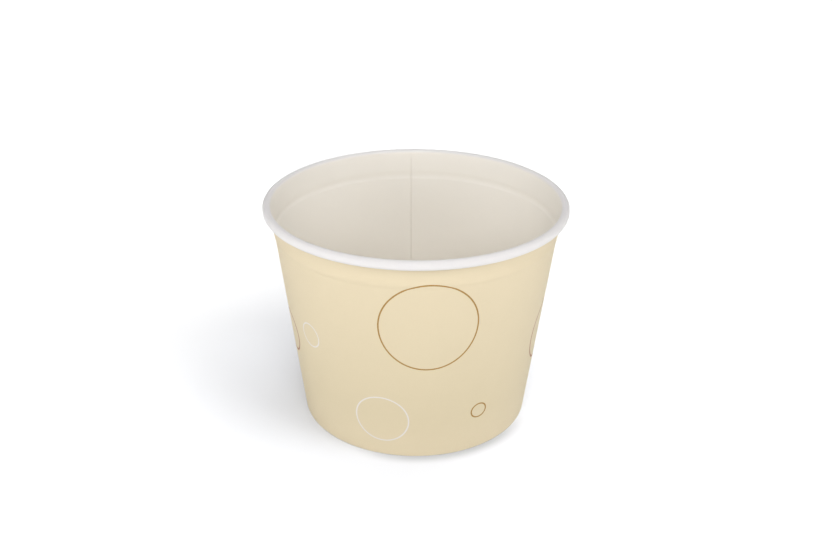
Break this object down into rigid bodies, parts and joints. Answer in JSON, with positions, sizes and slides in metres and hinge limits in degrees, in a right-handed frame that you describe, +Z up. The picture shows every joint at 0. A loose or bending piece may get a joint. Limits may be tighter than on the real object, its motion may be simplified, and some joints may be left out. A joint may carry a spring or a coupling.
{
  "type": "paper food bucket",
  "caption": "Round tapered paperboard bucket for hot food, with a rolled rim, a stacking bead, a lapped side seam and a recessed bottom disc held in a folded hem.",
  "frame": {"origin": "middle of the foot ring, on the surface the bucket stands on", "axes": "+Z up through the mouth; the side seam is at the back, 2.25 degrees from +Y towards -X; -Y is the front"},
  "size_m": [0.185, 0.185, 0.1387],
  "materials": {
    "printed_board": "satin",
    "floor_board": "satin"
  },
  "bodies": {
    "root": {"side_wall": "printed_board", "bottom_disc": "floor_board"}
  },
  "joints": []
}
